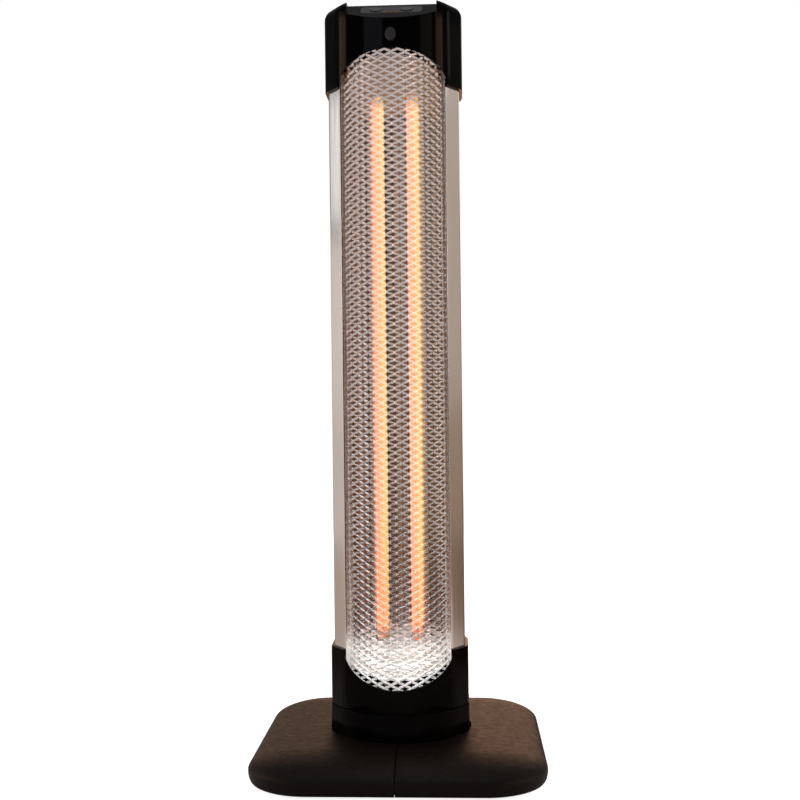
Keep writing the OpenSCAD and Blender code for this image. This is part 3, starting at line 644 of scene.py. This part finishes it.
# %% [markdown]
# The floor is pale matt paper, evenly lit. Polished metal would mirror it too brightly low
# down, and a studio would lay dark cloth behind the heater to stop that. No cloth is laid
# here. Instead, behind the heater the floor's colour is painted darker for mirrored rays only,
# grey at the left and brown at the right, fading in. This painted reflection darkens the
# polished column low down, and the camera still sees the pale floor.

# %% Floor finish
# Painted reflection: where the darker floor for mirrored rays fades in behind the heater, and how wide
# its grey to brown blend is across the middle.
painted_reflection_near, painted_reflection_far = 0.1, 0.3
painted_reflection_blend = 0.1
white_floor = 0.86
pale = Finish("pale_floor", Roughness=0.9, Specular_IOR_Level=0.1, Emission_Color=(1, 1, 1, 1))
path = pale.add("ShaderNodeLightPath")
shade = pale.mix(pale.noise(3, detail=2), (0.86, 0.86, 0.86), (0.90, 0.90, 0.90))
ground = pale.add("ShaderNodeSeparateXYZ", Vector=pale.place)
# Painted reflection: the darker floor colour that only mirrored rays see behind the heater, grey at the
# left and brown at the right.
painted_reflection_tone = pale.mix(pale.ramp(ground.outputs["X"], 0.0, 1.0, -painted_reflection_blend, painted_reflection_blend),
                 (0.52, 0.50, 0.48), (0.20, 0.15, 0.12))
painted_reflection_floor = pale.mix(pale.ramp(ground.outputs["Y"], 0.0, 1.0, painted_reflection_near, painted_reflection_far), shade, painted_reflection_tone)
floor.data.materials.append(pale.wear(
    Base_Color=pale.mix(path.outputs["Is Glossy Ray"], shade, painted_reflection_floor),
    Emission_Strength=pale.ramp(path.outputs["Is Camera Ray"], 0.0, white_floor)))
print("floor finish:", pale.material.name)

# %% [markdown]
# ## New pieces in place of CAD nodes
# The CAD shell of an outer piece is right in size but plain. Its place is taken by a finer
# mesh, which gets the same finish and moves with the same body. Every outer piece here
# belongs to the heater's fixed body.

# %% Standing in for a CAD node


def stand_in(piece, node):
    """Finishes a new piece that stands for a CAD node: it takes the finish of the node's slot, joins the
    root body, and the node is hidden.
    """
    dress(piece, slot_of[node])
    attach(piece, "root")
    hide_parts(node)


# %% [markdown]
# ## The column's outline
# Seen from above, the column is round in front, flat in two narrow facets beside that,
# straight at the sides and flat at the back between big round corners. The caps, the collar
# and the metal skin all follow this one outline, each grown or shrunk by its own amount. A
# handful of traced points would do for one size, but arcs stay true at any growth. They are
# laid out as a dense loop, so that mirrored streaks run smoothly over the front.

# %% Column outline
skin_low, skin_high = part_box("column_housing")
grille_low, grille_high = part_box("grille")
skin_r = skin_high.x
side_run = 14 * MM
facet_r = 10 * MM
back_r = skin_high.y - side_run
facet_angle = math.radians(57)
one_degree = math.radians(1)
front_steps, shoulder_steps, facet_steps, corner_steps = 40, 6, 12, 32
window_x = 56.93 * MM
facet_x = skin_r - facet_r
facet_y = -facet_x * (1 - math.sin(facet_angle)) / math.cos(facet_angle)
print("skin radius", round(skin_r / MM, 2), "and corner radius", round(back_r / MM, 2), "mm")


def half_outline(grow):
    """Right half of the outline from front to back: (x, y, arch), arch being 1 at the
    window's middle and 0 from its edge on."""
    r, f, c = skin_r + grow, facet_r + grow, back_r + grow
    out = []
    edge_x = min(window_x, r * math.sin(facet_angle - one_degree))
    for i in range(front_steps + 1):
        t = math.radians(90 * i / front_steps)
        x = edge_x * math.sin(t)
        out.append((x, -math.sqrt(r * r - x * x), max(math.cos(t), 0.0)))
    start = math.asin(edge_x / r)
    for i in range(1, shoulder_steps + 1):
        t = start + (facet_angle - start) * i / shoulder_steps
        out.append((r * math.sin(t), -r * math.cos(t), 0))
    for i in range(facet_steps + 1):
        t = facet_angle + (math.pi / 2 - facet_angle) * i / facet_steps
        out.append((facet_x + f * math.sin(t), facet_y - f * math.cos(t), 0))
    for i in range(corner_steps + 1):
        t = math.pi / 2 * (1 + i / corner_steps)
        out.append((r - c + c * math.sin(t), side_run - c * math.cos(t), 0))
    out.append((0, side_run + c, 0))
    return out


def outline(grow):
    """The whole loop, right side and then left side back to the front."""
    right = half_outline(grow)
    return right + [(-x, y, arch) for x, y, arch in right[-2:0:-1]]


def wall(name, outer, inner, low, high, high_arch=0.0, soft=0.6 * MM):
    """An upright shell between two outlines. An arch dips its upper edge across the front
    window. Both edges are softened on the outside."""
    rings = []

    def ring(grow, edge, shift):
        edge_z, arch_h = (low, 0.0) if edge == "low" else (high, high_arch)
        rings.append([(x, y, edge_z + arch_h * arch + shift) for x, y, arch in outline(grow)])

    corner = [math.radians(a) for a in (0, 30, 60, 90)]
    for a in corner:
        ring(outer - soft * (1 - math.sin(a)), "low", soft * (1 - math.cos(a)) if a else 0.0)
    for a in reversed(corner):
        ring(outer - soft * (1 - math.sin(a)), "high", -soft * (1 - math.cos(a)) if a else 0.0)
    ring(inner, "high", 0.0)
    ring(inner, "low", 0.0)
    return sharp_edges(mesh_piece(name, *sweep(rings, close_along=True)), 40)


# %% [markdown]
# ## Blocks and cutters
# Pockets, bores and arches are cut with plain blocks and pins, as a mould maker would
# draw them. Their edges could be built into the mesh point by point, but a cut keeps its
# place if the piece round it changes. A cutter is thrown away once its cut is made.

# %% Blocks and cutters


def block(name, rings):
    """A closed solid through stacked loops."""
    return mesh_piece(name, *sweep(rings))


def hollow_rings(grow, low, high):
    """Two loops of the outline, for a block that hollows out a cap."""
    return [[(x, y, z) for x, y, _ in outline(grow)] for z in (low, high)]


def box_piece(name, low, high, place=Matrix()):
    """A plain block between two corners, in its own place."""
    corners = [[(low[0], low[1], z), (high[0], low[1], z), (high[0], high[1], z), (low[0], high[1], z)]
               for z in (low[2], high[2])]
    rings = [[place @ Vector(p) for p in ring] for ring in corners]
    return block(name, rings)


def round_piece(name, radius, low, high, place, across=1.0, sides=64):
    """A round or oval pin along the place's own upright axis."""
    turn = [2 * math.pi * k / sides for k in range(sides)]
    return block(name, [[place @ Vector((radius * math.cos(t), across * radius * math.sin(t), z))
                         for t in turn] for z in (low, high)])


def carve(piece, *cutters):
    """Cuts pieces out of a piece and throws the cutters away."""
    for cutter in cutters:
        tool = piece.modifiers.new("cut", "BOOLEAN")
        tool.operation = "DIFFERENCE"
        tool.solver = "EXACT"
        tool.object = cutter
    settle(piece)
    for cutter in cutters:
        bpy.data.objects.remove(cutter)


def settle(piece):
    """Turns a piece's modifiers into plain mesh."""
    bpy.context.view_layer.update()
    shaped = piece.evaluated_get(bpy.context.evaluated_depsgraph_get())
    mesh = bpy.data.meshes.new_from_object(shaped)
    piece.modifiers.clear()
    piece.data = mesh


# %% [markdown]
# ## The black mouldings
# The lower cap is a gloss black cup that the column stands in, with an arch cut down into
# its front. The collar round its foot belongs to the base and stands out a hair further.
# Both are injection moulded, so their rims are slightly rounded; a dead sharp rim would
# look like cut card. They could be cut from blocks, as the upper cap is, but a wall swept
# round the outline gives the arch and the rounded rim in one go.

# %% Lower cap and collar
cap_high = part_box("lower_cap")[1]
collar_low, collar_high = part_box("foot_collar")
cap_out = cap_high.x - skin_r
cap_gap = 0.3 * MM
lower_arch = 36 * MM
collar_wall = 2.5 * MM
lower_cap = wall("lower_cap_moulding", cap_out, cap_gap, collar_high.z + cap_gap, cap_high.z,
                 high_arch=-lower_arch)
stand_in(lower_cap, "lower_cap")
collar_out = collar_high.x - skin_r
collar = wall("collar_moulding", collar_out, collar_out - collar_wall, collar_low.z, collar_high.z)
stand_in(collar, "foot_collar")

# %% [markdown]
# ## The metal skin
# The skin is one bent sheet, open in front. Each front edge is folded back into a lip and
# then inwards into a hook, and the grille's edge sits against that lip. The dark line
# beside the grille in real life is the gap there, so the lip has to be modelled. Two side
# strips would be enough for a front view, but one section gives the back as well.

# %% Metal skin
skin_t = 1.8 * MM
lip_depth = 18 * MM
hook_w = 6 * MM
lip_y = -math.sqrt(skin_r ** 2 - window_x ** 2)
hook_y = lip_y + lip_depth


def mirrored(path):
    """The same path on the left, walked the other way."""
    return [(-x, y) for x, y in reversed(path)]


lip_x = window_x - skin_t
fold_x = window_x + 0.6 * MM
past_window = 0.05 * MM
fold_round = 0.5 * MM
outer_path = [(lip_x - hook_w, hook_y), (lip_x, hook_y), (lip_x, -math.sqrt(skin_r ** 2 - lip_x ** 2)),
              (window_x, lip_y)]
outer_path += [(x, y) for x, y, _ in half_outline(0) if x > window_x + past_window or y > 0]
inner_path = [(x, y) for x, y, _ in half_outline(-skin_t) if x > fold_x or y > 0]
inner_path = [(lip_x - hook_w, hook_y + skin_t), (fold_x, hook_y + skin_t),
              (fold_x, inner_path[0][1])] + inner_path
left_inner_path = [(-x, y) for x, y in inner_path]
section = outer_path + mirrored(outer_path[:-1]) + left_inner_path + inner_path[-2::-1]
skin = mesh_piece("column_skin", *sweep([[(x, y, z) for x, y in section]
                                         for z in (skin_low.z, skin_high.z)]))
soften(skin, fold_round, 3)
sharp_edges(skin, 35)
stand_in(skin, "column_housing")

# %% [markdown]
# ## The base covers
# Two mouldings meet on the middle line and cover the steel plate. Each rim swells out in a
# long quarter of an oval, then tucks under to a narrow skirt, so the base looks like a
# cushion. A rounded box would have a flat top and an even edge, so each loop from the rim to
# the collar is worked out instead. The seam is real: a fine gap with a shallow groove.

# %% Base covers
base_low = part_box("base_cover_left")[0]
base_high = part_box("base_cover_right")[1]
base_half = base_high.x
corner_r = 64 * MM
rim_z = 14 * MM
cover_top = base_high.z
skirt_z = base_low.z
skirt_in = 4 * MM
cover_t = 3 * MM
seam = 0.3 * MM
groove_depth = 0.9 * MM
groove_half = 1.4 * MM
run = base_half - corner_r


def polar_radius(loop):
    """Gives the distance from the axis to a loop in any direction."""
    around = sorted((math.atan2(y, x), math.hypot(x, y)) for x, y, *_ in loop)
    around = [(around[-1][0] - 2 * math.pi, around[-1][1])] + around
    around.append((around[1][0] + 2 * math.pi, around[1][1]))

    def radius(angle):
        for (a, ra), (b, rb) in zip(around, around[1:]):
            if a <= angle <= b:
                return ra + (rb - ra) * ((angle - a) / (b - a) if b > a else 0)
        return around[0][1]
    return radius


def cover_height(x, y, shrink):
    """Height of the pillow's top face above the floor."""
    reach = math.hypot(max(abs(x) - run, 0), max(abs(y) - run, 0))
    part = min(reach / (corner_r - shrink), 1)
    groove = groove_depth * max(0, 1 - (abs(x) - seam) / groove_half) ** 2 if shrink == 0 else 0
    return rim_z + (cover_top - shrink - rim_z) * math.sqrt(1 - part * part) - groove


def rim_loop():
    """Points round the rim, as (corner centre, direction) pairs. They stand closer by the
    seam, at these distances from it in millimetres."""
    close = [0, 0.3, 0.6, 0.9, 1.2, 1.5, 1.8, 2.4, 3.4, 5, 8, 12, 18, 25, 34, 44, 55, 66, 77]
    half = [v * MM for v in close] + [run]
    side = [run * k / 12 for k in range(12)]
    quarter = [math.radians(3 * k) for k in range(31)]
    loop = [((x, -run), (0, -1)) for x in half[:-1]]
    loop += [((run, -run), (math.sin(a), -math.cos(a))) for a in quarter]
    loop += [((run, -y), (1, 0)) for y in reversed(side)]
    loop += [((x, -y), (p, -q)) for (x, y), (p, q) in reversed(loop[:-1])]
    loop += [((-x, y), (-p, q)) for (x, y), (p, q) in reversed(loop[1:-1])]
    return loop


collar_gap = 0.3 * MM
collar_radius = polar_radius(outline(collar_out + collar_gap))
rim = rim_loop()
tuck_steps, steps_in = 6, 44


def cover_rings(shrink):
    """Loops from the skirt's foot up over the rim and in to the collar's hole."""
    rings = []
    for k in range(tuck_steps + 1):
        t = math.radians(90 - 90 * k / tuck_steps)
        reach = corner_r - shrink - skirt_in * (1 - math.cos(t))
        z = rim_z - (rim_z - skirt_z) * math.sin(t)
        rings.append([(c[0] + d[0] * reach, c[1] + d[1] * reach, z) for c, d in rim])
    edge = [(c[0] + d[0] * (corner_r - shrink), c[1] + d[1] * (corner_r - shrink)) for c, d in rim]
    for k in range(1, steps_in + 1):
        s = 1 - math.cos(math.pi / 2 * k / steps_in)
        ring = []
        for x, y in edge:
            far, near = math.hypot(x, y), collar_radius(math.atan2(y, x))
            scale = (far + (near - far) * s) / far
            ring.append((x * scale, y * scale, cover_height(x * scale, y * scale, shrink)))
        rings.append(ring)
    return rings


print("rim loop:", len(rim), "points")

# %% [markdown]
# Both covers start as one closed skin, which is cut apart at the seam. At the back, a wide
# shallow bore takes the cord gland's flange, and a narrower one takes its stem. Without the
# bores the pillow would swallow the gland.

# %% Covers cut apart and bored
gland_low, gland_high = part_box("cord_gland")
gland_r = (gland_high.x - gland_low.x) / 2
gland_z = (gland_low.z + gland_high.z) / 2
bore_start = base_half + 1 * MM
facing_front = Matrix.Rotation(math.radians(90), 4, "X")
gland_at = Matrix.Translation((0, bore_start, gland_z)) @ facing_front
flange_bore = (gland_r + 1 * MM, 12 * MM)
stem_bore = (gland_r - 2.4 * MM, 40 * MM)
both_covers = cover_rings(0) + list(reversed(cover_rings(cover_t)))
for side, node in ((-1, "base_cover_left"), (1, "base_cover_right")):
    cover = mesh_piece(node + "_moulding", *sweep(both_covers, close_along=True))
    work = bmesh.new()
    work.from_mesh(cover.data)
    cut = bmesh.ops.bisect_plane(work, geom=work.verts[:] + work.edges[:] + work.faces[:], dist=1e-6,
                                 plane_co=(side * seam, 0, 0), plane_no=(-side, 0, 0), clear_outer=True)
    rims = [e for e in cut["geom_cut"] if isinstance(e, bmesh.types.BMEdge)]
    bmesh.ops.holes_fill(work, edges=rims)
    work.to_mesh(cover.data)
    work.free()
    carve(cover, *[round_piece(f"{node}_bore{k}", radius, 0, length, gland_at)
                   for k, (radius, length) in enumerate((flange_bore, stem_bore))])
    stand_in(sharp_edges(cover, 50), node)

# %% [markdown]
# ## The upper cap
# This is the biggest moulding. It starts as a block with the column's outline and a wide
# rounding along its top edge. A sloping cut between two ears makes the control panel's
# face, and an arch is cut up into its front. It could be skinned over from loops like the
# lower cap, but the sloping face crosses them all. Cutting a solid block keeps every wall
# where the CAD has it.

# %% Upper cap
top_low, top_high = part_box("upper_cap")
total_h = top_high.z
top_round = 12 * MM
upper_arch = 33 * MM
panel_half = 47 * MM
panel_back = 31 * MM
panel_slope = math.radians(32)
panel_t = 4.5 * MM
slope_reach = 140 * MM
slope_above = 200 * MM
panel = Matrix.Translation((0, -panel_back, total_h)) @ Matrix.Rotation(panel_slope, 4, "X")
buttons_x = 16 * MM
overlay_y = -18 * MM
button_hole = 6.8 * MM
past = 1 * MM


def slope_cut(name, side, drop):
    """The block above the sloping face, grown at its sides and sunk by drop."""
    return box_piece(name, (-panel_half - side, -slope_reach, -drop),
                     (panel_half + side, drop, slope_above), panel)


arcs = [math.radians(a) for a in range(0, 91, 9)]
cap_rings = [[(x, y, top_low.z) for x, y, _ in outline(cap_out)]]
cap_rings += [[(x, y, total_h - top_round * (1 - math.sin(a)))
               for x, y, _ in outline(cap_out - top_round * (1 - math.cos(a)))] for a in arcs]
upper_cap = block("upper_cap_moulding", cap_rings)
ear_wall = 3.2 * MM
room_inset = 3.7 * MM
lower_room = block("lower_room", hollow_rings(cap_gap, top_low.z - past, total_h - top_round))
upper_room = block("upper_room", hollow_rings(-room_inset, top_low.z + past, total_h - panel_t))
for room in (lower_room, upper_room):
    carve(room, slope_cut("slope_room", ear_wall, panel_t))
arch_back = -10 * MM
arch_at = Matrix.Translation((0, arch_back, top_low.z)) @ facing_front
arch = round_piece("arch", window_x, 0, 80 * MM, arch_at, across=upper_arch / window_x, sides=160)
carve(upper_cap, slope_cut("slope", 0, 0), lower_room, upper_room, arch)
print("upper cap walls are", round((cap_out - cap_gap) / MM, 2), "mm thick")

# %% [markdown]
# The small openings come last: seven vent slots in the roof, two button holes and the
# overlay's shallow pocket in the sloping face, and the oval window in front. Dark patches
# painted on would pass for them from afar, but real holes catch the light on their edges.

# %% Openings in the upper cap
vent_pitch = 7 * MM
vent_half = 1.5 * MM
vent_front, vent_back = 8 * MM, 38 * MM
vent_depth = 6 * MM
hole_depth = 8 * MM
overlay_half = (32.1 * MM, 12.1 * MM)
overlay_depth = 1.2 * MM
window_oval = (5.6 * MM, 7.1 * MM)
window_z = 757 * MM
window_back = -30 * MM
vents = [box_piece(f"vent{i}", (i * vent_pitch - vent_half, vent_front, total_h - vent_depth),
                   (i * vent_pitch + vent_half, vent_back, total_h + past)) for i in range(-3, 4)]
holes = [round_piece(f"hole{side}", button_hole, -hole_depth, past,
                     panel @ Matrix.Translation((side * buttons_x, overlay_y, 0))) for side in (-1, 1)]
overlay_cut = box_piece("overlay_cut",
                        (-overlay_half[0], overlay_y - overlay_half[1], -overlay_depth),
                        (overlay_half[0], overlay_y + overlay_half[1], past), panel)
window_at = Matrix.Translation((0, window_back, window_z)) @ facing_front
window_cut = round_piece("window_cut", window_oval[0], 0, 60 * MM, window_at,
                         across=window_oval[1] / window_oval[0])
carve(upper_cap, *vents, *holes, overlay_cut, window_cut)
sharp_edges(upper_cap, 30)
stand_in(upper_cap, "upper_cap")

# %% [markdown]
# ## The glowing elements
# Each heating element is a strip of carbon wound into a close spiral. A plain rod would
# glow like a neon tube; the spiral's ridges give the light its fine slanted texture.

# %% Glowing elements
coil_gap = 0.3 * MM
ridge_depth = 1.0 * MM
coil_pitch = 7 * MM
levels, sides = 900, 24
for node in ("carbon_element_left", "carbon_element_right"):
    low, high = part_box(node)
    centre_x, centre_y = (low.x + high.x) / 2, (low.y + high.y) / 2
    coil_r = (high.x - low.x) / 2 - coil_gap
    rings = []
    for i in range(levels + 1):
        z = low.z + (high.z - low.z) * i / levels
        ring = []
        for k in range(sides):
            t = 2 * math.pi * k / sides
            ridge = 0.5 + 0.5 * math.sin(t - 2 * math.pi * z / coil_pitch)
            r = coil_r - ridge_depth * (1 - ridge ** 0.35)
            ring.append((centre_x + r * math.cos(t), centre_y + r * math.sin(t), z))
        rings.append(ring)
    stand_in(mesh_piece(node + "_coil", *sweep(rings)), node)

# %% [markdown]
# ## The grille
# The real grille is expanded metal: a sheet is slit in staggered rows and stretched, so that
# each slit opens into a diamond. What is left are zigzag strands, tilted out of the sheet,
# that touch at their bends. A texture with holes would be lighter, but the strands' tilt is
# what makes them flash, so every strand is real geometry here: one bent flat bar a row.

# %% Expanded metal
diamond_w = 13.6 * MM
diamond_h = 7.36 * MM
strand_w = 2.5 * MM
strand_t = 0.9 * MM
strand_tilt = math.radians(34)
bend_round = 0.09
margin = 1 * MM
grille_r = -grille_low.y - strand_t
edge_angle = math.asin((grille_high.x - margin) / grille_r)
bends = 2 * round(edge_angle * grille_r / (diamond_w / 2))
rows = round((grille_high.z - grille_low.z - 2 * margin) / (diamond_h / 2)) - 1
steps = 4


def strand(row):
    """One zigzag bar: closed rings of four corners, swept round the grille's curve."""
    base = grille_low.z + margin + row * diamond_h / 2
    rings = []
    for i in range(bends * steps + 1):
        t = i / steps
        swing = abs((t + row) % 2 - 1)
        swing = swing + bend_round * math.sin(2 * math.pi * swing)
        slope = (diamond_h / diamond_w) * (1 if (t + row) % 2 > 1 else -1)
        if i % steps == 0:
            slope = 0
        angle = -edge_angle + 2 * edge_angle * t / bends
        outward = Vector((math.sin(angle), -math.cos(angle), 0))
        along = Vector((math.cos(angle), math.sin(angle), slope)).normalized()
        flat = outward.cross(along).normalized()
        if flat.z < 0:
            flat = -flat
        wide = math.cos(strand_tilt) * flat + math.sin(strand_tilt) * outward
        thin = math.cos(strand_tilt) * outward - math.sin(strand_tilt) * flat
        centre = outward * grille_r + Vector((0, 0, base + swing * diamond_h / 2))
        w, h = wide * strand_w / 2, thin * strand_t / 2
        rings.append([centre - w - h, centre + w - h, centre + w + h, centre - w + h])
    return sweep(rings)


points, faces = [], []
for row in range(rows):
    row_points, row_faces = strand(row)
    faces.extend(tuple(len(points) + k for k in face) for face in row_faces)
    points.extend(row_points)
grille = mesh_piece("grille_strands", points, faces, smooth=False)
stand_in(grille, "grille")
print(rows, "strands with", bends, "bends each")

# %% [markdown]
# The strands end in a folded edge on each side, which slides in behind the column's lips.
# Without it their cut ends would hang in the gap.

# %% Grille edges
edge_t = 1.2 * MM
edge_slant = 0.6 * MM
edge_round = 0.3 * MM
edge_x = grille_high.x
edge_front = -grille_r * math.cos(edge_angle) - edge_t
edge_section = [(edge_x - edge_t, edge_front), (edge_x, edge_front + edge_slant),
                (edge_x, grille_high.y), (edge_x - edge_t, grille_high.y)]
for side, name in ((-1, "grille_edge_left"), (1, "grille_edge_right")):
    rings = [[Vector((side * x, y, z)) for x, y in edge_section]
             for z in (grille_low.z, grille_high.z)]
    edge = soften(mesh_piece(name, *sweep(rings), smooth=False), edge_round, 2)
    dress(edge, "mesh_steel")
    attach(edge, "root")
